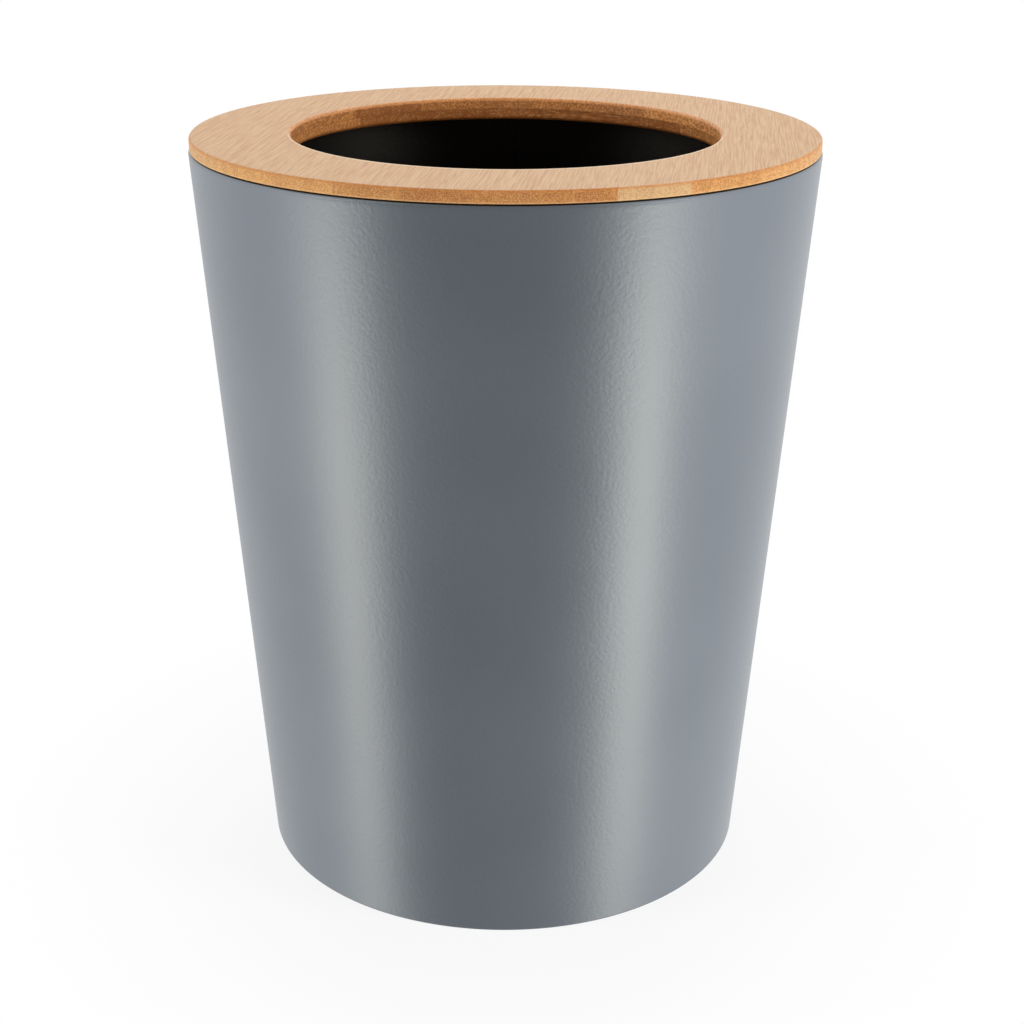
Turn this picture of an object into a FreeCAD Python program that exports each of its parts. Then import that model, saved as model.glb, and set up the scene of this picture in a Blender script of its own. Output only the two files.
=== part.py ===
import FreeCAD, Part
import itertools
import math
import os
import Sketcher
from FreeCAD import Placement, Rotation, Vector

# A free-standing waste bin. A tapered can of sheet steel has a rolled rim, a welded side
# seam and a base plate held in a hem at its foot. A loose ring of two crossed bamboo
# boards, each glued up from staves, lies on the rim and covers the bag's edge.
# Millimetres and degrees. The floor is z = 0, the can's axis is the z axis and the side
# that faces the viewer is towards -y.

doc = FreeCAD.newDocument("trash_can")

SIZES = {
    # The can's wall, its rim and its foot
    "can_height": 300,  # floor to the top of the rolled rim
    "rim_diameter": 250,  # outside of the straight wall, carried up to the rim's top
    "foot_diameter": 205,  # outside of the straight wall, carried down to the floor
    "sheet_thickness": 0.6,  # steel sheet of the wall
    "roll_bore": 2.0,  # hollow of the rolled rim
    "bend_radius": 0.75,  # outside of the two bends at the foot
    "hem_height": 5.5,  # floor to the edge of the sheet, which ends inside the foot
    "hem_clearance": 0.15,  # play on each side of the base plate's flange in the hem
    # The side seam, where the wall's two ends overlap and are welded
    "lap_width": 6,  # overlap of the two ends, measured at the rim
    "lap_margin": 4,  # notch at the lap's ends, clear of the rolled rim and the base
    # The base plate
    "base_thickness": 0.6,  # steel sheet of the base plate
    "base_rise": 8,  # floor to the underside of the base plate
    "base_bend_radius": 2,  # outside of the bend from the plate to its flange
    "rib_width": 9,  # stiffening ring pressed up into the plate, across its foot
    "rib_height": 1.6,  # rise of that ring
    "rib_radius_share": 0.62,  # middle of that ring, as a share of the foot's radius
    # The lid ring
    "lid_setback": 0.5,  # how far the top board's edge stands back from the rim's
    "opening_diameter": 170,  # hole in the top board
    "board_thickness": 4.8,  # each bamboo board
    "edge_radius": 0.6,  # sanded edges of the top board
    "stave_width": 24.4,  # one bamboo stave, across its grain
    "least_stave": 5,  # narrowest strip that the boards are cut to at their edges
    "top_grain_angle": 6.6,  # grain of the top board, from straight back to the right
    "top_joint_offset": 3,  # glue joint nearest to the axis in the top board
    "under_grain_angle": 117,  # grain of the under board, measured the same way
    "under_joint_offset": 1,  # glue joint nearest to the axis in the under board
    "opening_step": 0.3,  # how far the under board's hole stands back from the top's
    "lid_clearance": 0.15,  # height of the top board over the rolled rim
    "locator_clearance": 1,  # play of the under board inside the rolled rim
    "saw_overrun": 1,  # how far the boxes that part the staves pass the boards
}

sizes = doc.addObject("Spreadsheet::Sheet", "sizes")
for row, (name, length) in enumerate(SIZES.items(), 1):
    sizes.set(f"A{row}", name)
    sizes.set(f"B{row}", str(length))
    sizes.setAlias(f"B{row}", name)
doc.recompute()

# Every round bend of the sheet is drawn with flats of an eighth of a turn that touch the
# bend's circle. A flat's corner lies at this share of the radius from the flat's middle.
EIGHTH = "(360 / 8)"
CORNER_SHARE = f"tan({EIGHTH} / 2)"

# The straight wall leans outwards. A point at some height, and some depth inwards from
# the wall's outer face, has the radius that on_wall gives.
LEAN = "((sizes.rim_diameter - sizes.foot_diameter) / 2 / sizes.can_height)"
SECANT = f"sqrt(1 + {LEAN}^2)"


def on_wall(height, depth):
    return f"(sizes.foot_diameter / 2 + ({height}) * {LEAN} - ({depth}) * {SECANT})"


def number(formula):
    return float(sizes.evalExpression(formula))


def new_body(label):
    body = doc.addObject("PartDesign::Body", label)
    body.Label = label
    return body


def measure(sketch, kind, references, formula):
    """Add a dimension to a sketch and tie it to the sheet."""
    index = sketch.addConstraint(Sketcher.Constraint(kind, *references, number(formula)))
    sketch.renameConstraint(index, f"size_{index}")
    sketch.setExpression(f"Constraints.size_{index}", formula)


def section(body, name, corners, role="XZ_Plane"):
    """Sketch a closed outline. Each corner is a radius and a height, both as formulas."""
    plane = next(part for part in body.Origin.OriginFeatures if part.Role == role)
    sketch = body.newObject("Sketcher::SketchObject", name)
    sketch.AttachmentSupport = [(plane, "")]
    sketch.MapMode = "FlatFace"
    points = [Vector(number(radius), number(height), 0) for radius, height in corners]
    for start, end in zip([points[-1], *points], points):
        sketch.addGeometry(Part.LineSegment(start, end), False)
    for side, (radius, height) in enumerate(corners):
        following = (side + 1) % len(corners)
        sketch.addConstraint(Sketcher.Constraint("Coincident", side, 2, following, 1))
        measure(sketch, "DistanceX", (-1, 1, side, 2), radius)
        measure(sketch, "DistanceY", (-1, 1, side, 2), height)
    return sketch


def turn(body, sketch, angle="360"):
    """Revolve a section about the can's axis."""
    feature = body.newObject("PartDesign::Revolution", f"{sketch.Name}_turned")
    feature.Profile = sketch
    feature.ReferenceAxis = (sketch, ["V_Axis"])
    feature.setExpression("Angle", angle)
    return feature


# The can's wall: one sheet, drawn as its half section. At the top the sheet rolls inwards
# through three quarters of a turn. At the foot it turns in along the floor and back up,
# which leaves a slot for the base plate's flange and a flat ring to stand on.
SHEET = "sizes.sheet_thickness"
ROLL = f"(sizes.roll_bore / 2 + {SHEET})"
ROLL_AXIS = f"(sizes.rim_diameter / 2 - {ROLL} * ({LEAN} + {SECANT}))"
ROLL_LEVEL = f"(sizes.can_height - {ROLL})"
SLOT_INNER = f"({SHEET} + sizes.base_thickness + 2 * sizes.hem_clearance)"
HEM_BACK = f"({SLOT_INNER} + {SHEET})"
FOOT_FLAT = f"(sizes.bend_radius * (1 - {CORNER_SHARE}))"


def rolled(radius):
    """Corners of the rim's roll, from the wall's side over the top to the inner side."""
    reach = f"{radius} / cos({EIGHTH} / 2)"
    angles = [f"({step} + 1 / 2) * {EIGHTH}" for step in range(6)]
    across = [f"({ROLL_AXIS} + {reach} * cos({angle}))" for angle in angles]
    levels = [f"({ROLL_LEVEL} + {reach} * sin({angle}))" for angle in angles]
    return list(zip(across, levels))


can_shell = new_body("can_shell")
turn(can_shell, section(can_shell, "wall", [
    (on_wall(FOOT_FLAT, "0"), FOOT_FLAT),
    (on_wall(ROLL_LEVEL, "0"), ROLL_LEVEL),
    *rolled(ROLL),
    (ROLL_AXIS, f"({ROLL_LEVEL} - {ROLL})"),
    (ROLL_AXIS, f"({ROLL_LEVEL} - sizes.roll_bore / 2)"),
    *reversed(rolled("sizes.roll_bore / 2")),
    (on_wall(ROLL_LEVEL, SHEET), ROLL_LEVEL),
    (on_wall(SHEET, SHEET), SHEET),
    (on_wall(SHEET, SLOT_INNER), SHEET),
    (on_wall("sizes.hem_height", SLOT_INNER), "sizes.hem_height"),
    (on_wall("sizes.hem_height", HEM_BACK), "sizes.hem_height"),
    (on_wall(FOOT_FLAT, HEM_BACK), FOOT_FLAT),
    (f"({on_wall('0', HEM_BACK)} + {FOOT_FLAT})", "0"),
    (f"({on_wall('0', '0')} - {FOOT_FLAT})", "0"),
]))

# The side seam at the back: a strip of double sheet inside the wall, fused by the weld.
# The strip is notched away near the rim and the base, so that the roll and the hem stay
# thin enough to fold.
PLATE_TOP = "(sizes.base_rise + sizes.base_thickness)"
LAP_FOOT = f"({PLATE_TOP} + sizes.lap_margin)"
LAP_HEAD = f"({ROLL_LEVEL} - sizes.lap_margin)"
HALF_SHEET = f"({SHEET} / 2)"
TWO_SHEETS = f"(2 * {SHEET})"

lap = section(can_shell, "lap", [
    (on_wall(LAP_FOOT, HALF_SHEET), LAP_FOOT),
    (on_wall(LAP_HEAD, HALF_SHEET), LAP_HEAD),
    (on_wall(LAP_HEAD, TWO_SHEETS), LAP_HEAD),
    (on_wall(LAP_FOOT, TWO_SHEETS), LAP_FOOT),
], "YZ_Plane")
lap.AttachmentOffset = Placement(Vector(), Rotation(Vector(0, 1, 0), 180))
turn(can_shell, lap, "sizes.lap_width / (sizes.rim_diameter / 2) * 180 / pi")

# The base plate: a pressed disc with a stiffening ring. Its edge turns down, at the
# wall's own lean, into the slot of the hem, and ends above the slot's floor.
PLATE = "sizes.base_thickness"
FLANGE_OUTER = f"({SHEET} + sizes.hem_clearance)"
FLANGE_INNER = f"({FLANGE_OUTER} + {PLATE})"
FLANGE_TIP = f"({SHEET} + sizes.hem_clearance)"
OUTER_FLAT = f"(sizes.base_bend_radius * (1 - {CORNER_SHARE}))"
INNER_FLAT = f"((sizes.base_bend_radius - {PLATE}) * (1 - {CORNER_SHARE}))"
RIB_MIDDLE = "(sizes.rib_radius_share * sizes.foot_diameter / 2)"
RIB_FOOT = "(sizes.rib_width / 2)"
RIB_CROWN = f"({RIB_FOOT} - sizes.rib_height)"
RIB_INSET = f"({PLATE} * {CORNER_SHARE})"
RIB_TOP = f"({PLATE_TOP} + sizes.rib_height)"
RIB_UNDER = "(sizes.base_rise + sizes.rib_height)"

base_plate = new_body("base_plate")
turn(base_plate, section(base_plate, "plate", [
    ("0", PLATE_TOP),
    (f"({RIB_MIDDLE} - {RIB_FOOT})", PLATE_TOP),
    (f"({RIB_MIDDLE} - {RIB_CROWN})", RIB_TOP),
    (f"({RIB_MIDDLE} + {RIB_CROWN})", RIB_TOP),
    (f"({RIB_MIDDLE} + {RIB_FOOT})", PLATE_TOP),
    (f"({on_wall(PLATE_TOP, FLANGE_OUTER)} - {OUTER_FLAT})", PLATE_TOP),
    (on_wall(f"{PLATE_TOP} - {OUTER_FLAT}", FLANGE_OUTER), f"({PLATE_TOP} - {OUTER_FLAT})"),
    (on_wall(FLANGE_TIP, FLANGE_OUTER), FLANGE_TIP),
    (on_wall(FLANGE_TIP, FLANGE_INNER), FLANGE_TIP),
    (on_wall(f"sizes.base_rise - {INNER_FLAT}", FLANGE_INNER), f"(sizes.base_rise - {INNER_FLAT})"),
    (f"({on_wall('sizes.base_rise', FLANGE_INNER)} - {INNER_FLAT})", "sizes.base_rise"),
    (f"({RIB_MIDDLE} + {RIB_FOOT} - {RIB_INSET})", "sizes.base_rise"),
    (f"({RIB_MIDDLE} + {RIB_CROWN} - {RIB_INSET})", RIB_UNDER),
    (f"({RIB_MIDDLE} - {RIB_CROWN} + {RIB_INSET})", RIB_UNDER),
    (f"({RIB_MIDDLE} - {RIB_FOOT} + {RIB_INSET})", "sizes.base_rise"),
    ("0", "sizes.base_rise"),
]))

# The two boards of the lid ring, before they are parted into staves. The top board lies
# on the rolled rim. The under board is glued below it, drops inside the rim and keeps the
# lid in its place.
TOP_FLOOR = "(sizes.can_height + sizes.lid_clearance)"
TOP_LEVEL = f"({TOP_FLOOR} + sizes.board_thickness)"
UNDER_FLOOR = f"({TOP_FLOOR} - sizes.board_thickness)"
TOP_RADIUS = "(sizes.rim_diameter / 2 - sizes.lid_setback)"
TOP_HOLE = "(sizes.opening_diameter / 2)"
UNDER_RADIUS = f"({ROLL_AXIS} - {ROLL} - sizes.locator_clearance)"
UNDER_HOLE = f"({TOP_HOLE} + sizes.opening_step)"
SANDED = f"(sizes.edge_radius * (1 - {CORNER_SHARE}))"

top_board = new_body("top_board")
turn(top_board, section(top_board, "top_ring", [
    (TOP_HOLE, TOP_FLOOR),
    (f"({TOP_RADIUS} - {SANDED})", TOP_FLOOR),
    (TOP_RADIUS, f"({TOP_FLOOR} + {SANDED})"),
    (TOP_RADIUS, f"({TOP_LEVEL} - {SANDED})"),
    (f"({TOP_RADIUS} - {SANDED})", TOP_LEVEL),
    (f"({TOP_HOLE} + {SANDED})", TOP_LEVEL),
    (TOP_HOLE, f"({TOP_LEVEL} - {SANDED})"),
]))

under_board = new_body("under_board")
turn(under_board, section(under_board, "under_ring", [
    (UNDER_HOLE, UNDER_FLOOR),
    (UNDER_RADIUS, UNDER_FLOOR),
    (UNDER_RADIUS, TOP_FLOOR),
    (UNDER_HOLE, TOP_FLOOR),
]))


def stave(name, blank, floor, grain_angle, left, right, front, back):
    """Saw one stave out of a board, then turn it to the board's grain direction."""
    box = doc.addObject("Part::Box", f"{name}_saw")
    box.setExpression("Length", f"{right} - ({left})")
    box.setExpression("Width", f"{back} - ({front})")
    box.setExpression("Height", "sizes.board_thickness + 2 * sizes.saw_overrun")
    box.setExpression("Placement.Base.x", left)
    box.setExpression("Placement.Base.y", front)
    box.setExpression("Placement.Base.z", f"{floor} - sizes.saw_overrun")
    piece = doc.addObject("Part::Common", name)
    piece.Label = name
    piece.Base = blank
    piece.Tool = box
    piece.Placement = Placement(Vector(), Rotation(Vector(0, 0, 1), -number(grain_angle)))
    piece.setExpression("Placement.Rotation.Angle", f"-{grain_angle}")
    return piece


def staves(prefix, blank, floor, radius, hole, joint_offset, grain_angle, ends):
    """Part a board into its staves. One that the hole cuts right through is two pieces."""
    limit = number(radius) - number("sizes.least_stave")
    pitch = number("sizes.stave_width")
    start = number(joint_offset)
    first = math.ceil((-limit - start) / pitch)
    last = math.floor((limit - start) / pitch)
    joints = [f"{joint_offset} + {index} * sizes.stave_width" for index in range(first, last + 1)]
    reach = f"({radius} + sizes.saw_overrun)"
    pieces = []
    for index, (left, right) in enumerate(itertools.pairwise([f"-{reach}", *joints, reach]), 1):
        name = f"{prefix}_{index}"
        if max(abs(number(left)), abs(number(right))) < number(hole):
            spans = [(f"{name}_{ends[0]}", f"-{reach}", "0"), (f"{name}_{ends[1]}", "0", reach)]
        else:
            spans = [(name, f"-{reach}", reach)]
        for label, front, back in spans:
            pieces.append(stave(label, blank, floor, grain_angle, left, right, front, back))
    return pieces


top_staves = staves(
    "top_stave", top_board, TOP_FLOOR, TOP_RADIUS, TOP_HOLE,
    "sizes.top_joint_offset", "sizes.top_grain_angle", ("front", "back"),
)
under_staves = staves(
    "under_stave", under_board, UNDER_FLOOR, UNDER_RADIUS, UNDER_HOLE,
    "sizes.under_joint_offset", "sizes.under_grain_angle", ("left", "right"),
)

doc.recompute()
for item in doc.Objects:
    if "Invalid" in item.State or "Error" in item.State:
        raise RuntimeError(f"{item.Label} did not build: {item.State}")

sub_parts = [can_shell, base_plate, *top_staves, *under_staves]
for part in sub_parts:
    if part.Shape.isNull() or not part.Shape.isValid() or len(part.Shape.Solids) != 1:
        raise RuntimeError(f"{part.Label} is not one valid solid")

os.makedirs("parts", exist_ok=True)
for part in sub_parts:
    part.Shape.exportStep(f"parts/{part.Label}.step")
    print(part.Label, round(part.Shape.Volume), "cubic millimetres")
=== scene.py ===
import math
import random
from types import SimpleNamespace

import bmesh
import bpy
from mathutils import Matrix, Vector


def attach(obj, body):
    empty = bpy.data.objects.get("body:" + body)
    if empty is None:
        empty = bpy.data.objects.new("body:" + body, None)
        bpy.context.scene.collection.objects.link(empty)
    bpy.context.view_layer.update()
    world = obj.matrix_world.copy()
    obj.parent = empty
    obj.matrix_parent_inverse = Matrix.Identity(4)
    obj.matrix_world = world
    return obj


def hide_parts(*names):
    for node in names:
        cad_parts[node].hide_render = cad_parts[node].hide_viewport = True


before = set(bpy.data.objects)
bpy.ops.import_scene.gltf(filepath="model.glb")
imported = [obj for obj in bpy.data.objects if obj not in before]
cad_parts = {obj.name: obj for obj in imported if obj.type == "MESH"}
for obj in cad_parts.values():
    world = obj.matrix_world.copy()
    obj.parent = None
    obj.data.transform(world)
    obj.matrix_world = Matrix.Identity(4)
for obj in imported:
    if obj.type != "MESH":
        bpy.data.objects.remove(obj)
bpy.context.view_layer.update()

# Lengths are in metres. The floor is z = 0, the can's axis is the z axis, and the side that
# faces the viewer is towards -y.


# The camera stands in front of the can, a little higher than its rim, and looks down on it.
# It is rolled to one side by a fraction of a degree.
CAMERA_PLACE = (0.0031, -0.7398, 0.4252)
LOOKING_DOWN = math.radians(20.939)
CAMERA_ROLL = math.radians(0.239)
SENSOR_WIDTH = 36
FOCAL_LENGTH = 64.94

camera = bpy.data.objects.new("camera", bpy.data.cameras.new("camera"))
camera.data.sensor_width = SENSOR_WIDTH
camera.data.lens = FOCAL_LENGTH
camera.matrix_world = (
    Matrix.Translation(CAMERA_PLACE)
    @ Matrix.Rotation(math.radians(90) - LOOKING_DOWN, 4, "X")
    @ Matrix.Rotation(CAMERA_ROLL, 4, "Z")
)
bpy.context.scene.collection.objects.link(camera)
bpy.context.scene.camera = camera
bpy.context.scene.view_settings.view_transform = "Standard"


# The studio: a plain white floor and a white background, with a soft box on each side of
# the can, a low one in front of it and a wide one over it. What the can mirrors is darker
# in front, and has a tall warm glow on the left and on the right.
class Wire:
    """A value in a node tree. Arithmetic on it adds Math nodes to the same tree."""

    def __init__(self, tree, socket):
        self.tree = tree
        self.socket = socket

    def math(self, operation, *others):
        return self.tree.math(operation, self, *others)

    def at_least(self, other):
        return self.math("MAXIMUM", other)

    def __add__(self, other):
        return self.math("ADD", other)

    def __sub__(self, other):
        return self.math("SUBTRACT", other)

    def __rsub__(self, other):
        return self.tree.math("SUBTRACT", other, self)

    def __neg__(self):
        return 0 - self

    def __abs__(self):
        return self.math("ABSOLUTE")

    def __mul__(self, other):
        return self.math("MULTIPLY", other)

    def __truediv__(self, other):
        return self.math("DIVIDE", other)

    __radd__ = __add__
    __rmul__ = __mul__


class Tree:
    """A node tree. Each call of add makes one node and gives one of its outputs."""

    def __init__(self, node_tree):
        self.node_tree = node_tree
        node_tree.nodes.clear()

    def add(self, kind, settings=None, inputs=None, output=None):
        node = self.node_tree.nodes.new(kind)
        for name, value in (settings or {}).items():
            setattr(node, name, value)
        sockets = {socket.identifier: socket for socket in node.inputs}
        for name, value in (inputs or {}).items():
            if isinstance(value, Wire):
                self.node_tree.links.new(value.socket, sockets[name])
            else:
                sockets[name].default_value = value
        results = {socket.identifier: socket for socket in node.outputs}
        return Wire(self, results[output] if output else next(iter(results.values()), None))

    def math(self, operation, *values):
        inputs = dict(zip(("Value", "Value_001", "Value_002"), values))
        return self.add("ShaderNodeMath", {"operation": operation}, inputs)

    def blend(self, share, first, second):
        """Mix two colours. A share of 1 gives the second."""
        inputs = {"Factor_Float": share, "A_Color": first, "B_Color": second}
        return self.add("ShaderNodeMix", {"data_type": "RGBA"}, inputs, "Result_Color")

    def ramp(self, value, low, high):
        """Turn the values from low to high smoothly into 0 to 1."""
        inputs = {"Value": value, "From Min": low, "From Max": high}
        return self.add("ShaderNodeMapRange", {"interpolation_type": "SMOOTHSTEP"}, inputs)

    def parts(self, vector):
        """The three parts of a vector."""
        first = self.add("ShaderNodeSeparateXYZ", {}, {"Vector": vector})
        return [Wire(self, socket) for socket in first.socket.node.outputs]

    def seen_plainly(self):
        """1 for rays from the camera, from a reflection and through glass, 0 for the rest."""
        rays = self.add("ShaderNodeLightPath").socket.node.outputs
        camera_ray, glossy, clear = (
            Wire(self, rays[f"Is {name} Ray"]) for name in ("Camera", "Glossy", "Transmission")
        )
        return camera_ray.at_least(glossy).at_least(clear)

    def mirrored_rays(self):
        return self.add("ShaderNodeLightPath", {}, {}, "Is Glossy Ray")


def paint(red, green, blue):
    """A colour as it looks on a screen, each channel from 0 to 255."""
    screen = (channel / 255 for channel in (red, green, blue))
    return (*(c / 12.92 if c < 0.04 else ((c + 0.055) / 1.055) ** 2.4 for c in screen), 1)


def new_material(name):
    material = bpy.data.materials.new(name)
    material.use_nodes = True
    return material, Tree(material.node_tree)


WHITE = (1, 1, 1, 1)
WARM = (1, 0.92, 0.77, 1)
FLOOR_REACH = 6
FLOOR_PAINT = paint(244, 244, 244)
# How much light the floor gives off itself, and how much of its shadow the camera sees,
# which fades between two distances from the can's axis.
FLOOR_GLOW = 0.4
SHADOW_SHARE = 0.14
SHADOW_NEAR = 0.11
SHADOW_FAR = 0.26
# How strongly the world lights the can, and then what the can mirrors: dark in front, but
# paler towards the floor, and white further round, a little brighter on the right. A
# direction's side is its angle from the front to the right, and its z is 1 straight up.
ROOM_LIGHT = 0.3
FRONT_FOOT = 0.46
FOOT_START = 0.36
FOOT_END = 0.75
FRONT_END = math.radians(32)
WHITE_START = math.radians(80)
RIGHT_EXTRA = 0.1
# The two glows: their sides and strengths, and how far they reach sideways. Each is
# brightest at one z below the horizon, less bright at one above it, and faint elsewhere.
LEFT_GLOW = (math.radians(-66), 4.4)
RIGHT_GLOW = (math.radians(56), 6.0)
GLOW_CORE = math.radians(2)
GLOW_REACH = math.radians(17)
GLOW_MIDDLE = -0.45
GLOW_FADE = 0.27
GLOW_LEAST = 0.12
GLOW_ABOVE = 0.85
ABOVE_MIDDLE = 0.24
ABOVE_FADE = 0.2
# Each soft box: its place, the point that it is turned to, its width, height and watts, and
# whether the can mirrors it.
SOFT_BOXES = {
    "left_box": ((-1.3, -0.5, 0.5), (0, 0, 0.15), 0.5, 1.0, 9, False),
    "right_box": ((1.25, -0.6, 0.5), (0, 0, 0.15), 0.5, 1.0, 14, False),
    "front_box": ((0, -1.3, 0.42), (0, 0, 0.3), 0.9, 0.3, 3.2, False),
    "top_box": ((0, 0.75, 1.5), (0, 0, 0.3), 1.3, 1.0, 11.5, True),
}

floor_material, tree = new_material("pale_floor")
lit = tree.add("ShaderNodeBsdfDiffuse", {}, {"Color": FLOOR_PAINT})
white = tree.add("ShaderNodeEmission", {}, {"Color": WHITE, "Strength": 1})
x, y, z = tree.parts(tree.add("ShaderNodeTexCoord", {}, {}, "Object"))
away = tree.ramp((x * x + y * y).math("SQRT"), SHADOW_NEAR, SHADOW_FAR)
seen = tree.seen_plainly()
share = seen * (1 - SHADOW_SHARE * (1 - away)) + (1 - seen) * FLOOR_GLOW
surface = tree.add("ShaderNodeMixShader", {}, {"Fac": share, "Shader": lit, "Shader_001": white})
tree.add("ShaderNodeOutputMaterial", {}, {"Surface": surface})

corners = [(x * FLOOR_REACH, y * FLOOR_REACH, 0) for x, y in ((-1, -1), (1, -1), (1, 1), (-1, 1))]
floor_mesh = bpy.data.meshes.new("floor")
floor_mesh.from_pydata(corners, [], [(0, 1, 2, 3)])
floor_mesh.materials.append(floor_material)
floor = bpy.data.objects.new("floor", floor_mesh)
floor.visible_glossy = False
bpy.context.scene.collection.objects.link(floor)

world = bpy.data.worlds.new("studio")
world.use_nodes = True
bpy.context.scene.world = world
tree = Tree(world.node_tree)
x, y, z = tree.parts(tree.add("ShaderNodeTexCoord", {}, {}, "Generated"))
side = x.math("ARCTAN2", -y)
front = FRONT_FOOT * tree.ramp(-z, FOOT_START, FOOT_END)
level = front + (1 - front) * tree.ramp(abs(side), FRONT_END, WHITE_START)
level = level + RIGHT_EXTRA * tree.ramp(side, FRONT_END, WHITE_START)
below = tree.ramp(abs(z - GLOW_MIDDLE), GLOW_FADE, 0)
above = tree.ramp(abs(z - ABOVE_MIDDLE), ABOVE_FADE, 0)
tall = (GLOW_LEAST + (1 - GLOW_LEAST) * below).at_least(GLOW_ABOVE * above)
for middle, strength in (LEFT_GLOW, RIGHT_GLOW):
    across = tree.ramp(abs(side - middle), GLOW_REACH, GLOW_CORE)
    level = level + strength * tall * across
mirrored = tree.mirrored_rays()
tint = tree.blend(mirrored * tree.ramp(level, 1, 2), WHITE, WARM)
shown = 1 + mirrored * (level - 1)
room = tree.add("ShaderNodeBackground", {}, {"Color": WHITE, "Strength": ROOM_LIGHT})
background = tree.add("ShaderNodeBackground", {}, {"Color": tint, "Strength": shown})
surface = tree.add("ShaderNodeMixShader", {}, {
    "Fac": tree.seen_plainly(), "Shader": room, "Shader_001": background,
})
tree.add("ShaderNodeOutputWorld", {}, {"Surface": surface})

for name, (place, aim, width, height, watts, in_mirror) in SOFT_BOXES.items():
    light = bpy.data.lights.new(name, "AREA")
    light.shape = "RECTANGLE"
    light.size = width
    light.size_y = height
    light.energy = watts
    lamp = bpy.data.objects.new(name, light)
    facing = (Vector(aim) - Vector(place)).to_track_quat("-Z", "Y").to_matrix().to_4x4()
    lamp.matrix_world = Matrix.Translation(place) @ facing
    lamp.visible_camera = False
    lamp.visible_glossy = in_mirror
    bpy.context.scene.collection.objects.link(lamp)


# The can's wall: one steel sheet rolled into a cone and welded. Its upper edge is rolled
# inwards, its lower edge is folded in and up as a hem. Grey powder coat covers the outside,
# black enamel the inside. The black also covers the top of the roll, as painted shade for the
# gap under the lid.
CAN_HEIGHT = 0.300
RIM_RADIUS = 0.125
FOOT_RADIUS = 0.1025
SHEET = 0.0006
ROLL = 0.0016
BEND = 0.00075
INNER_BEND = 0.00015
HEM_HEIGHT = 0.0055
HEM_SLOT = 0.0009
LEAN = (RIM_RADIUS - FOOT_RADIUS) / CAN_HEIGHT
SECANT = math.hypot(1, LEAN)
ROLL_AXIS = RIM_RADIUS - ROLL * (LEAN + SECANT)
# The groove that the weld leaves outside, at the back of the can
SEAM_WIDTH = 0.0012
SEAM_DEPTH = 0.00012
BACK = math.radians(90)
# How finely a piece is turned. The wall's columns are crowded towards its seam.
WALL_COLUMNS = 384
WALL_CROWDING = 0.9
BEND_STEPS = 8
MERGE_REACH = 0.000002
SMOOTH_TO = math.radians(35)
# A side of a section is long when it is over so many times the bends at its two ends. The
# points that it then gets lie so many times the bend from their corner.
LONG_SIDE = 4
GUARD_REACH = 1.6
# The black enamel on the roll ends where the roll's face looks outwards by this much. Its part
# on the top of the roll is painted shade for the gap under the lid.
SHADE_ENAMEL_EDGE = 0.79

# The coats. Clouds and grains are patterns, so many to the metre. A pattern shows from its
# first value on and fully from its second. A roughness is a least value and what the clouds
# add to it.
GREY = paint(124, 131, 139)
GREY_SHADE = paint(116, 123, 131)
GREY_METAL = 0.6
GREY_CLOUDS = 9
GREY_GRAINS = 2600
CLOUD_SHARE = 0.6
GRAIN_SHARE = 0.4
GREY_SHOWS = (0.35, 0.65)
GREY_ROUGHNESS = (0.33, 0.06)
BLACK = paint(12, 13, 14)
BLACK_CLOUDS = 14
BLACK_ROUGHNESS = (0.30, 0.08)
PEEL_SIZE = 0.0015
PEEL_HEIGHT = 0.00006
PEEL_DETAIL = 1.5


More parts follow.
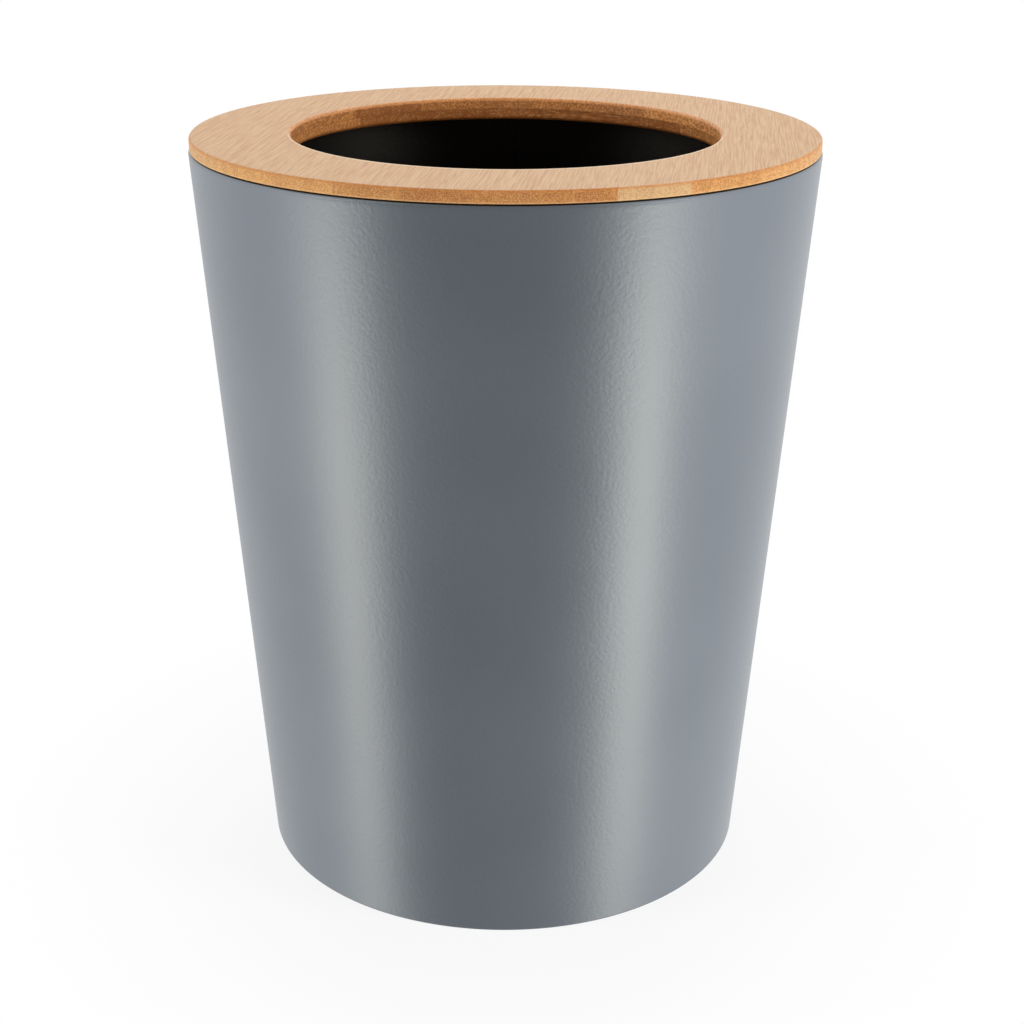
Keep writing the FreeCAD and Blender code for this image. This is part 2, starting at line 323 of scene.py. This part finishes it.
def turning_tree():
    """A tree that rounds the corners of a section and turns it about the can's axis."""
    group = bpy.data.node_groups.new("turned", "GeometryNodeTree")
    tree = Tree(group)
    for name, kind in (
        ("Section", "Geometry"), ("Bend Steps", "Int"), ("Columns", "Int"), ("Crowding", "Float"),
        ("Start", "Float"), ("Turn", "Float"), ("Caps", "Bool"), ("Seam Width", "Float"),
        ("Seam Depth", "Float"), ("Merge Reach", "Float"), ("Finish", "Material"),
    ):
        group.interface.new_socket(name, in_out="INPUT", socket_type=f"NodeSocket{kind}")
    result = group.interface.new_socket("Mesh", in_out="OUTPUT", socket_type="NodeSocketGeometry")
    entry = tree.add("NodeGroupInput").socket.node
    given = {socket.name: Wire(tree, socket) for socket in entry.outputs if socket.name}

    outline = tree.add("GeometryNodeMeshToCurve", {}, {"Mesh": given["Section"]})
    bend = tree.add("GeometryNodeInputNamedAttribute", {}, {"Name": "bend"})
    rounded = tree.add("GeometryNodeFilletCurve", {"mode": "POLY"}, {
        "Curve": outline, "Radius": bend, "Count": given["Bend Steps"], "Limit Radius": True,
    })
    path = tree.add("GeometryNodeCurvePrimitiveLine", {}, {"Start": (0, 0, 0), "End": (0, 0, 1)})
    path = tree.add("GeometryNodeResampleCurve", {}, {"Curve": path, "Count": given["Columns"] + 1})
    swept = tree.add("GeometryNodeCurveToMesh", {}, {
        "Curve": path, "Profile Curve": rounded, "Fill Caps": given["Caps"],
    })

    radius, height, way = tree.parts(tree.add("GeometryNodeInputPosition"))
    whole = way * given["Turn"]
    angle = whole - given["Crowding"] * whole.math("SINE")
    near = angle.math("MINIMUM", 2 * math.pi - angle) * radius
    groove = (1 - near * 2 / given["Seam Width"]).at_least(0)
    radius = radius - groove * given["Seam Depth"]
    angle = angle + given["Start"]
    place = tree.add("ShaderNodeCombineXYZ", {}, {
        "X": radius * angle.math("COSINE"), "Y": radius * angle.math("SINE"), "Z": height,
    })

    mesh = tree.add("GeometryNodeSetPosition", {}, {"Geometry": swept, "Position": place})
    mesh = tree.add("GeometryNodeFlipFaces", {}, {"Mesh": mesh})
    mesh = tree.add("GeometryNodeMergeByDistance", {}, {
        "Geometry": mesh, "Distance": given["Merge Reach"],
    })
    mesh = tree.add("GeometryNodeSetShadeSmooth", {}, {"Geometry": mesh})
    mesh = tree.add("GeometryNodeRealizeInstances", {}, {"Geometry": mesh})
    mesh = tree.add("GeometryNodeSetMaterial", {}, {
        "Geometry": mesh, "Material": given["Finish"],
    })
    tree.add("NodeGroupOutput", {}, {result.identifier: mesh})
    return group


def section(corners, closed):
    """The outline that a turned piece is made of: corners of a radius, a height and a bend.
    A long straight side gets a point next to each bend, which keeps its shading flat."""
    points = []
    for index, (radius, height, bend) in enumerate(corners):
        here = Vector((radius, height, 0))
        guards = []
        for other in (corners[index - 1], corners[(index + 1) % len(corners)]):
            other_radius, other_height, other_bend = other
            side = Vector((other_radius, other_height, 0)) - here
            long = side.length > LONG_SIDE * (bend + other_bend)
            guard = here + side.normalized() * bend * GUARD_REACH
            guards.append([(guard, 0)] if bend and long else [])
        before, after = guards
        points += [*before, (here, bend), *after]
    mesh = bpy.data.meshes.new("section")
    links = [(index, index + 1) for index in range(len(points) - 1)]
    if closed:
        links.append((len(points) - 1, 0))
    mesh.from_pydata([place for place, _ in points], links, [])
    bends = mesh.attributes.new("bend", "FLOAT", "POINT")
    bends.data.foreach_set("value", [bend for _, bend in points])
    return mesh


TURNING = turning_tree()


def turned(name, corners, finish, choices=None, closed=True):
    """A mesh turned about the can's axis."""
    values = {
        "Bend Steps": BEND_STEPS, "Columns": WALL_COLUMNS, "Crowding": 0.0, "Start": BACK,
        "Turn": 2 * math.pi, "Caps": False, "Seam Width": SEAM_WIDTH, "Seam Depth": 0.0,
        "Merge Reach": MERGE_REACH, "Finish": finish, **(choices or {}),
    }
    blank = bpy.data.objects.new(name, section(corners, closed))
    bpy.context.scene.collection.objects.link(blank)
    modifier = blank.modifiers.new("turned", "NODES")
    modifier.node_group = TURNING
    for item in TURNING.interface.items_tree:
        if item.name in values:
            modifier[item.identifier] = values[item.name]
    evaluated = blank.evaluated_get(bpy.context.evaluated_depsgraph_get())
    mesh = bpy.data.meshes.new_from_object(evaluated)
    mesh.name = name
    mesh.set_sharp_from_angle(angle=SMOOTH_TO)
    bpy.data.objects.remove(blank)
    return mesh


def place_piece(name, mesh, body, slot, *nodes):
    """Put a finished mesh into the scene on its body, and hide the pieces of the model that it
    stands in for.
    """
    piece = bpy.data.objects.new(name, mesh)
    bpy.context.scene.collection.objects.link(piece)
    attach(piece, body)
    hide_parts(*nodes)


def peel(tree, place):
    """The fine waves of a baked coat."""
    waves = tree.add("ShaderNodeTexNoise", {}, {
        "Vector": place, "Scale": 1 / PEEL_SIZE, "Detail": PEEL_DETAIL,
    })
    return tree.add("ShaderNodeBump", {}, {
        "Height": waves, "Distance": PEEL_HEIGHT, "Strength": 1,
    })


def powder_coat():
    material, tree = new_material("grey_powder_coat")
    place = tree.add("ShaderNodeTexCoord", {}, {}, "Object")
    clouds, grains = (
        tree.add("ShaderNodeTexNoise", {}, {"Vector": place, "Scale": scale, "Detail": detail})
        for scale, detail in ((GREY_CLOUDS, 2), (GREY_GRAINS, 1))
    )
    tone = tree.ramp(clouds * CLOUD_SHARE + grains * GRAIN_SHARE, *GREY_SHOWS)
    least, added = GREY_ROUGHNESS
    surface = tree.add("ShaderNodeBsdfPrincipled", {}, {
        "Base Color": tree.blend(tone, GREY_SHADE, GREY),
        "Roughness": least + added * clouds,
        "Metallic": GREY_METAL,
        "Normal": peel(tree, place),
    })
    tree.add("ShaderNodeOutputMaterial", {}, {"Surface": surface})
    return material


def black_enamel():
    material, tree = new_material("black_enamel")
    place = tree.add("ShaderNodeTexCoord", {}, {}, "Object")
    clouds = tree.add("ShaderNodeTexNoise", {}, {
        "Vector": place, "Scale": BLACK_CLOUDS, "Detail": 2,
    })
    least, added = BLACK_ROUGHNESS
    surface = tree.add("ShaderNodeBsdfPrincipled", {}, {
        "Base Color": BLACK,
        "Roughness": least + added * clouds,
        "Normal": peel(tree, place),
    })
    tree.add("ShaderNodeOutputMaterial", {}, {"Surface": surface})
    return material


def on_wall(height, depth):
    """Radius at some height, and some depth inwards from the wall's outer face."""
    return FOOT_RADIUS + height * LEAN - depth * SECANT


roll_bore = ROLL - SHEET
roll_foot = CAN_HEIGHT - 2 * ROLL
slot_depth = SHEET + HEM_SLOT
hem_depth = slot_depth + SHEET
enamel = black_enamel()
wall_mesh = turned("wall", [
    (on_wall(0, 0), 0, BEND),
    (on_wall(CAN_HEIGHT, 0), CAN_HEIGHT, ROLL),
    (ROLL_AXIS - ROLL, CAN_HEIGHT, ROLL),
    (ROLL_AXIS - ROLL, roll_foot, ROLL),
    (ROLL_AXIS, roll_foot, 0),
    (ROLL_AXIS, roll_foot + SHEET, 0),
    (ROLL_AXIS - roll_bore, roll_foot + SHEET, roll_bore),
    (ROLL_AXIS - roll_bore, CAN_HEIGHT - SHEET, roll_bore),
    (on_wall(CAN_HEIGHT - SHEET, SHEET), CAN_HEIGHT - SHEET, roll_bore),
    (on_wall(SHEET, SHEET), SHEET, INNER_BEND),
    (on_wall(SHEET, slot_depth), SHEET, INNER_BEND),
    (on_wall(HEM_HEIGHT, slot_depth), HEM_HEIGHT, 0),
    (on_wall(HEM_HEIGHT, hem_depth), HEM_HEIGHT, 0),
    (on_wall(0, hem_depth), 0, BEND),
], powder_coat(), {"Crowding": WALL_CROWDING, "Seam Depth": SEAM_DEPTH})
wall_mesh.materials.append(enamel)
for face in wall_mesh.polygons:
    outwards = face.normal.xy.dot(face.center.xy.normalized())
    inside = HEM_HEIGHT < face.center.z < roll_foot and outwards < 0
    # The black on the top of the roll is painted shade for the gap under the lid.
    painted_shade_on_roll = face.center.z > roll_foot and outwards < SHADE_ENAMEL_EDGE
    if inside or painted_shade_on_roll:
        face.material_index = 1
place_piece("wall", wall_mesh, "can", "grey_powder_coat", "can_shell")

# The side seam: the strip where the wall's two ends overlap at the back. Inside the can it
# shows as a second sheet, welded down and enamelled over. It stops short of roll and base.
LAP_WIDTH = 0.006
LAP_FOOT = 0.0126
LAP_HEAD = 0.2944
LAP_EDGE = 0.0002
LAP_COLUMNS = 6

lap_turn = LAP_WIDTH / RIM_RADIUS
lap_mesh = turned("seam_lap", [
    (on_wall(LAP_FOOT, SHEET / 2), LAP_FOOT, 0),
    (on_wall(LAP_HEAD, SHEET / 2), LAP_HEAD, 0),
    (on_wall(LAP_HEAD, 2 * SHEET), LAP_HEAD, LAP_EDGE),
    (on_wall(LAP_FOOT, 2 * SHEET), LAP_FOOT, LAP_EDGE),
], enamel, {"Columns": LAP_COLUMNS, "Start": BACK - lap_turn, "Turn": lap_turn, "Caps": True})
place_piece("seam_lap", lap_mesh, "can", "grey_powder_coat", "can_shell")

# The base plate: a disc pressed from sheet steel, with a stiffening ring in it. Its edge is
# turned down into the slot of the hem. Black enamel on both sides.
BASE_RISE = 0.008
BASE_SHEET = 0.0006
BASE_BEND = 0.002
FLANGE_PLAY = 0.00015
RIB_RADIUS = 0.06355
RIB_WIDTH = 0.009
RIB_HEIGHT = 0.0016
RIB_BEND = 0.9 * RIB_HEIGHT

base_top = BASE_RISE + BASE_SHEET
flange_depth = SHEET + FLANGE_PLAY
flange_tip = SHEET + FLANGE_PLAY
rib_out = RIB_RADIUS + RIB_WIDTH / 2
rib_in = RIB_RADIUS - RIB_WIDTH / 2
base_mesh = turned("base", [
    (0, BASE_RISE, 0),
    (rib_in, BASE_RISE, RIB_BEND),
    (rib_in + RIB_HEIGHT, BASE_RISE + RIB_HEIGHT, RIB_BEND),
    (rib_out - RIB_HEIGHT, BASE_RISE + RIB_HEIGHT, RIB_BEND),
    (rib_out, BASE_RISE, RIB_BEND),
    (on_wall(BASE_RISE, flange_depth + BASE_SHEET), BASE_RISE, BASE_BEND - BASE_SHEET),
    (on_wall(flange_tip, flange_depth + BASE_SHEET), flange_tip, 0),
    (on_wall(flange_tip, flange_depth), flange_tip, 0),
    (on_wall(base_top, flange_depth), base_top, BASE_BEND),
    (rib_out, base_top, RIB_BEND),
    (rib_out - RIB_HEIGHT, base_top + RIB_HEIGHT, RIB_BEND),
    (rib_in + RIB_HEIGHT, base_top + RIB_HEIGHT, RIB_BEND),
    (rib_in, base_top, RIB_BEND),
    (0, base_top, 0),
], enamel, closed=False)
place_piece("base", base_mesh, "can", "black_lacquer", "base_plate")

# The top board of the lid ring: bamboo staves glued edge to edge, cut to a ring, with its
# edges sanded round, and coated with a matt clear lacquer. It lies on the can's rim.
MM = 0.001
LID_RADIUS = 0.1245
HOLE_RADIUS = 0.085
TOP_FLOOR = 0.30015
BOARD = 0.0048
UNDER_FLOOR = TOP_FLOOR - BOARD
TOP_ROUND = 0.0011
HOLE_ROUND = 0.0016
LOW_ROUND = 0.0002
BOARD_COLUMNS = 360
STAVE_WIDTH = 0.0244
STAVE_SEED = 11
TOP_GRAIN = math.radians(6.6)
TOP_JOINT = -0.119
# The first and the last stave end where the board does, so their outer cuts lie past it.
PAST_BOARD = 1
# For each stave, from the left to the right, how dark its outer edge and its cut in the
# hole are, 1 for the darkest
TOP_TONES = [
    (0.2, 0.5), (0.25, 0.5), (0.4, 0.5), (0.55, 1.0), (0.75, 0.65), (0.9, 0.62),
    (0.8, 0.4), (1.0, 0.47), (0, 0), (0.65, 0), (0.5, 0.3),
]

# Bamboo's colours on the face, on the outer edge and on the cut in the hole
FACE_LIGHT = paint(212, 170, 121)
FACE = paint(199, 152, 101)
FACE_LINE = paint(174, 118, 66)
# The colour of a painted highlight along the front of the hole's upper edge
RIM_HIGHLIGHT = paint(248, 222, 182)
EDGE_PALE = paint(196, 158, 111)
EDGE_AMBER = paint(208, 155, 89)
EDGE_DEEP = paint(180, 121, 63)
EDGE_ROUND = paint(200, 124, 58)
# The speck colour, which is also a painted highlight along the outer edge's lower arris
EDGE_SPECK_AND_HIGHLIGHT = paint(232, 188, 132)
CUT_LIGHT = paint(246, 168, 95)
CUT_DEEP = paint(164, 99, 46)
# A painted highlight on the rounding at the top of the cut in the hole
CUT_ROUND_HIGHLIGHT = paint(232, 156, 88)
# The fibre colour, which also paints shade at the lower edge of the cut in the hole
FIBRE_AND_SHADE = paint(128, 68, 26)
# The tone at which an edge is fully amber, the one from which it deepens, and how far a
# tone drifts across a stave
AMBER_TONE = 0.35
DEEP_TONE = 0.3
TONE_DRIFT = 0.2

# Bamboo's patterns. A bundle of fibres has a length across the stave, along it and up
# through it, a streak has one across and one along it. A bundle's dot is darkest in its
# core, and reaches further near the board's upper face.
BUNDLE = (0.68 * MM, 6 * MM, 0.74 * MM)
BUNDLE_SCATTER = 0.65
DOT_CORE = 0.12
DOT_REACH = 0.62
DOT_GROWTH = 0.15
FINE = (0.5 * MM, 26 * MM)
BAND = (8 * MM, 220 * MM)
DASH = (0.4 * MM, 16 * MM)
SPECK = (0.6 * MM, 7 * MM)
MOTTLE = (MM, 4 * MM)
STREAK_SHOWS = (0.52, 0.66)
MOTTLE_SHOWS = (0.42, 0.62)
FACE_SHOWS = (0.42, 0.58)
FINE_SHARE = 0.85
BAND_SHARE = 0.15
# How far a stave's own random number moves the patterns in it
STAVE_SHIFT = (0.7, 1.3, 0.9)

# Where the marks lie. A lean is the z of the surface's normal, 0 on an upright face and 1
# on a level one.
SIDE_LEAN = (0.82, 0.99)
ROUND_LEAN = (0.02, 0.3)
FLAT_LEAN = (0.5, 0.8)
# How far from the hole its cut's colours reach, and where the outer edge's begin
CUT_REACH = 10 * MM
EDGE_START = 20 * MM
# Heights above a board's lower face: where a painted highlight runs along the outer edge's
# lower arris, and where painted shade darkens the lower edge of the hole's cut. Then
# distances from the glue between the boards
LOW_HIGHLIGHT_START = 0.2 * MM
LOW_HIGHLIGHT_END = 0.8 * MM
HOLE_SHADE_START = 0.2 * MM
HOLE_SHADE_END = 2 * MM
GLUE_CORE = 0.1 * MM
GLUE_REACH = 0.5 * MM
# A painted highlight: the pale line along the front of the hole's upper edge, widest at the
# very front
RIM_HIGHLIGHT_WIDTH = 0.8 * MM
RIM_HIGHLIGHT_FADE = 1.5 * MM
RIM_HIGHLIGHT_GROWTH = 1.4 * MM
HIGHLIGHT_GROWN_AT = 85 * MM
RIM_HIGHLIGHT_STARTS = 30 * MM

# How strongly each mark covers the colour below it
DASH_SHARE = 0.5
RIM_HIGHLIGHT_SHARE = 0.8
ROUND_SHARE = 0.5
CUT_HIGHLIGHT_SHARE = 0.8
SPECK_SHARE = 0.25
CUT_SPECK_EXTRA = 0.1
DOT_SHARE = 0.4
DARK_DOT_EXTRA = 0.35
DOT_LOSS = 0.4
MOTTLE_SHARE = 0.5
MOTTLE_LOSS = 0.5
LOW_HIGHLIGHT_SHARE = 0.35
GLUE_SHARE = 0.25
HOLE_SHADE_SHARE = 0.7
BAMBOO_ROUGHNESS = (0.44, 0.1)
GRAIN_DEPTH = 0.02 * MM


def along_grain(tree, grain):
    """Two functions for patterns that follow the grain: one gives the distance from the
    nearest bundle's middle, the other streaks. Each stave has a place of its own in them."""
    place = tree.add("ShaderNodeTexCoord", {}, {}, "Object")
    stave = tree.add("ShaderNodeAttribute", {"attribute_name": "stave"}, {}, "Fac")
    shift = tree.add("ShaderNodeCombineXYZ", {}, {
        axis: stave * reach for axis, reach in zip("XYZ", STAVE_SHIFT)
    })
    aligned = tree.add("ShaderNodeMapping", {}, {"Vector": place, "Rotation": (0, 0, grain)})
    moved = tree.add("ShaderNodeVectorMath", {"operation": "ADD"}, {
        "Vector": aligned, "Vector_001": shift,
    })

    def stretched(across, along, up):
        inputs = {"Vector": moved, "Vector_001": (1 / across, 1 / along, 1 / up)}
        return tree.add("ShaderNodeVectorMath", {"operation": "MULTIPLY"}, inputs)

    def bundles():
        inputs = {"Vector": stretched(*BUNDLE), "Scale": 1, "Randomness": BUNDLE_SCATTER}
        return tree.add("ShaderNodeTexVoronoi", {}, inputs, "Distance")

    def streaks(size, detail):
        across, along = size
        inputs = {"Vector": stretched(across, along, across), "Scale": 1, "Detail": detail}
        return tree.add("ShaderNodeTexNoise", {}, inputs)

    return bundles, streaks


def places(tree, floor):
    """Where a point lies on the lid ring, each answer from 0 to 1. The floor is the height
    of its board's lower face."""
    x, y, z = tree.parts(tree.add("ShaderNodeTexCoord", {}, {}, "Object"))
    lean = tree.parts(tree.add("ShaderNodeTexCoord", {}, {}, "Normal"))[2]
    radius = (x * x + y * y).math("SQRT")
    wider = RIM_HIGHLIGHT_GROWTH * tree.ramp(-y, 0, HIGHLIGHT_GROWN_AT)
    rim_highlight = 1 - tree.ramp(radius - wider, HOLE_RADIUS + RIM_HIGHLIGHT_WIDTH, HOLE_RADIUS + RIM_HIGHLIGHT_FADE)
    return SimpleNamespace(
        height=tree.ramp(z, floor, floor + BOARD),
        upright=1 - tree.ramp(abs(lean), *SIDE_LEAN),
        bent=tree.ramp(lean, *ROUND_LEAN),
        # A painted highlight: the pale line along the front of the hole's upper edge
        rim_highlight=rim_highlight * tree.ramp(lean, *FLAT_LEAN) * tree.ramp(-y, 0, RIM_HIGHLIGHT_STARTS),
        in_hole=1 - tree.ramp(radius, HOLE_RADIUS + CUT_REACH, HOLE_RADIUS + EDGE_START),
        # A painted highlight along the lower arris of the outer edge
        low_highlight=1 - tree.ramp(z, floor + LOW_HIGHLIGHT_START, floor + LOW_HIGHLIGHT_END),
        glue=1 - tree.ramp(abs(z - TOP_FLOOR), GLUE_CORE, GLUE_REACH),
        # Painted shade at the lower edge of the cut in the hole
        hole_shade=1 - tree.ramp(z, UNDER_FLOOR + HOLE_SHADE_START, UNDER_FLOOR + HOLE_SHADE_END),
    )


def edge_colour(tree, at, dots, streaks, bands):
    """The ends and sides of the staves: pale to deep amber outside, orange to brown in the
    hole, with their bundles as dots and darker at the glue. Painted highlights lie along the outer
    edge's lower arris and on the rounding at the top of the cut, and painted shade darkens the
    cut's lower edge in the hole."""
    tone, hole_tone = (
        tree.add("ShaderNodeAttribute", {"attribute_name": name}, {}, "Fac")
        + TONE_DRIFT * (bands - 0.5)
        for name in ("edge_tone", "hole_tone")
    )
    specks = tree.ramp(streaks(SPECK, 1), *STREAK_SHOWS)
    mottle = tree.ramp(streaks(MOTTLE, 1), *MOTTLE_SHOWS)
    edge = tree.blend(tree.ramp(tone, 0, AMBER_TONE), EDGE_PALE, EDGE_AMBER)
    edge = tree.blend(tree.ramp(tone, DEEP_TONE, 1), edge, EDGE_DEEP)
    edge = tree.blend(at.in_hole, edge, tree.blend(hole_tone, CUT_LIGHT, CUT_DEEP))
    edge = tree.blend(at.bent * ROUND_SHARE * (1 - at.in_hole), edge, EDGE_ROUND)
    # A painted highlight: the rounding at the top of the cut in the hole is lighter.
    edge = tree.blend(at.bent * CUT_HIGHLIGHT_SHARE * at.in_hole, edge, CUT_ROUND_HIGHLIGHT)
    share = specks * (SPECK_SHARE + CUT_SPECK_EXTRA * at.in_hole)
    edge = tree.blend(share, edge, EDGE_SPECK_AND_HIGHLIGHT)
    share = dots * (DOT_SHARE + DARK_DOT_EXTRA * tone) * (1 - DOT_LOSS * at.bent)
    edge = tree.blend(share, edge, FIBRE_AND_SHADE)
    share = mottle * (1 - MOTTLE_LOSS * at.bent) * MOTTLE_SHARE * at.in_hole
    edge = tree.blend(share, edge, FIBRE_AND_SHADE)
    # A painted highlight: the outer edge is paler along its lower arris.
    edge = tree.blend(at.low_highlight * LOW_HIGHLIGHT_SHARE * (1 - at.in_hole), edge, EDGE_SPECK_AND_HIGHLIGHT)
    # Darker at the glue, and painted shade at the lower edge of the cut in the hole
    share = (at.glue * GLUE_SHARE).at_least(at.hole_shade * HOLE_SHADE_SHARE) * at.in_hole
    return tree.blend(share, edge, FIBRE_AND_SHADE)


def bamboo(name, grain, floor):
    """Bamboo. Its fibre bundles run along the grain, so they are dots on the ends of a stave
    and fine lines along it, and the dots are larger towards the board's upper face."""
    material, tree = new_material(name)
    bundles, streaks = along_grain(tree, grain)
    at = places(tree, floor)
    dots = 1 - tree.ramp(bundles(), DOT_CORE, DOT_REACH + DOT_GROWTH * at.height)
    fine = streaks(FINE, 2)
    bands = streaks(BAND, 2)
    dashes = tree.ramp(streaks(DASH, 1), *STREAK_SHOWS)
    tone = tree.ramp(fine * FINE_SHARE + bands * BAND_SHARE, *FACE_SHOWS)
    face = tree.blend(tone, FACE_LIGHT, FACE)
    face = tree.blend(dashes * DASH_SHARE, face, FACE_LINE)
    edge = edge_colour(tree, at, dots, streaks, bands)
    # The pale line at the front of the hole's upper edge is a painted highlight.
    colour = tree.blend(at.rim_highlight * RIM_HIGHLIGHT_SHARE, tree.blend(at.upright, face, edge), RIM_HIGHLIGHT)
    least, added = BAMBOO_ROUGHNESS
    surface = tree.add("ShaderNodeBsdfPrincipled", {}, {
        "Base Color": colour,
        "Roughness": least + added * fine,
        "Normal": tree.add("ShaderNodeBump", {}, {
            "Height": fine - dots * at.upright, "Distance": GRAIN_DEPTH, "Strength": 1,
        }),
    })
    tree.add("ShaderNodeOutputMaterial", {}, {"Surface": surface})
    return material


def saw(board, name, grain, left, right, half):
    """Cut one stave out of a board: what lies between two joints, and on one half of the
    board where the hole parts the stave."""
    across = Vector((math.cos(grain), -math.sin(grain), 0))
    along = Vector((math.sin(grain), math.cos(grain), 0))
    cuts = [(across * left, -across), (across * right, across)]
    if half:
        cuts.append((Vector(), along * -half))
    shape = bmesh.new()
    shape.from_mesh(board)
    for place, outwards in cuts:
        parts = [*shape.verts, *shape.edges, *shape.faces]
        cut = bmesh.ops.bisect_plane(
            shape, geom=parts, plane_co=place, plane_no=outwards, clear_outer=True, dist=MERGE_REACH,
        )
        rims = [item for item in cut["geom_cut"] if isinstance(item, bmesh.types.BMEdge)]
        bmesh.ops.holes_fill(shape, edges=rims)
    mesh = bpy.data.meshes.new(name)
    shape.to_mesh(mesh)
    shape.free()
    mesh.materials.append(board.materials[0])
    mesh.set_sharp_from_angle(angle=SMOOTH_TO)
    return mesh


def lay_staves(board, kind, grain, joint, halves, slot, tones):
    """Part a board into the staves that it was glued up from. The joint is the one between
    the first two staves. A stave that the hole cuts through is two pieces, and halves tells
    the name of each, which way it lies and how much of the hole's tone its cut has."""
    for number, (edge_tone, hole_tone) in enumerate(tones, 1):
        left = joint + (number - 2) * STAVE_WIDTH if number > 1 else -PAST_BOARD
        right = joint + (number - 1) * STAVE_WIDTH if number < len(tones) else PAST_BOARD
        whole = f"{kind}_stave_{number}"
        ends = {whole: (0, 1)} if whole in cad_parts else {
            f"{whole}_{side}": half for side, half in halves.items()
        }
        for node, (half, share) in ends.items():
            mesh = saw(board, node.replace("stave", "bamboo"), grain, left, right, half)
            given = {
                "stave": chance.random(), "edge_tone": edge_tone, "hole_tone": hole_tone * share,
            }
            for name, value in given.items():
                values = mesh.attributes.new(name, "FLOAT", "POINT")
                values.data.foreach_set("value", [value] * len(mesh.vertices))
            place_piece(mesh.name, mesh, "lid", slot, node)


chance = random.Random(STAVE_SEED)
top_board = turned("top_board", [
    (HOLE_RADIUS, TOP_FLOOR, 0),
    (LID_RADIUS, TOP_FLOOR, LOW_ROUND),
    (LID_RADIUS, TOP_FLOOR + BOARD, TOP_ROUND),
    (HOLE_RADIUS, TOP_FLOOR + BOARD, HOLE_ROUND),
], bamboo("bamboo_top", TOP_GRAIN, TOP_FLOOR), {"Columns": BOARD_COLUMNS})
lay_staves(
    top_board, "top", TOP_GRAIN, TOP_JOINT, {"front": (-1, 1), "back": (1, 1)},
    "bamboo_top", TOP_TONES,
)

# The under board of the lid ring: a second layer of bamboo staves, glued below the first
# with its grain across. It drops inside the rolled rim and keeps the lid in its place.
UNDER_RADIUS = 0.120675
UNDER_HOLE = 0.0852
UNDER_ROUND = 0.0018
UNDER_GRAIN = math.radians(117)
UNDER_JOINT = -0.0966
# The tones of these staves, from the back to the front
UNDER_TONES = [
    (0.9, 0.9), (0.9, 0.9), (1.0, 1.0), (0.75, 0.9), (0.4, 0.4),
    (0.3, 0.2), (0.3, 0.2), (0.4, 0.3), (0.5, 0.3), (0.6, 0.4),
]
# On the right, the cuts in the hole have only this share of their tone.
RIGHT_CUT = 0.45

under_board = turned("under_board", [
    (UNDER_HOLE, UNDER_FLOOR, UNDER_ROUND),
    (UNDER_RADIUS, UNDER_FLOOR, LOW_ROUND),
    (UNDER_RADIUS, TOP_FLOOR, 0),
    (UNDER_HOLE, TOP_FLOOR, 0),
], bamboo("bamboo_under", UNDER_GRAIN, UNDER_FLOOR), {"Columns": BOARD_COLUMNS})
lay_staves(
    under_board, "under", UNDER_GRAIN, UNDER_JOINT, {"left": (-1, 1), "right": (1, RIGHT_CUT)},
    "bamboo_under", UNDER_TONES,
)
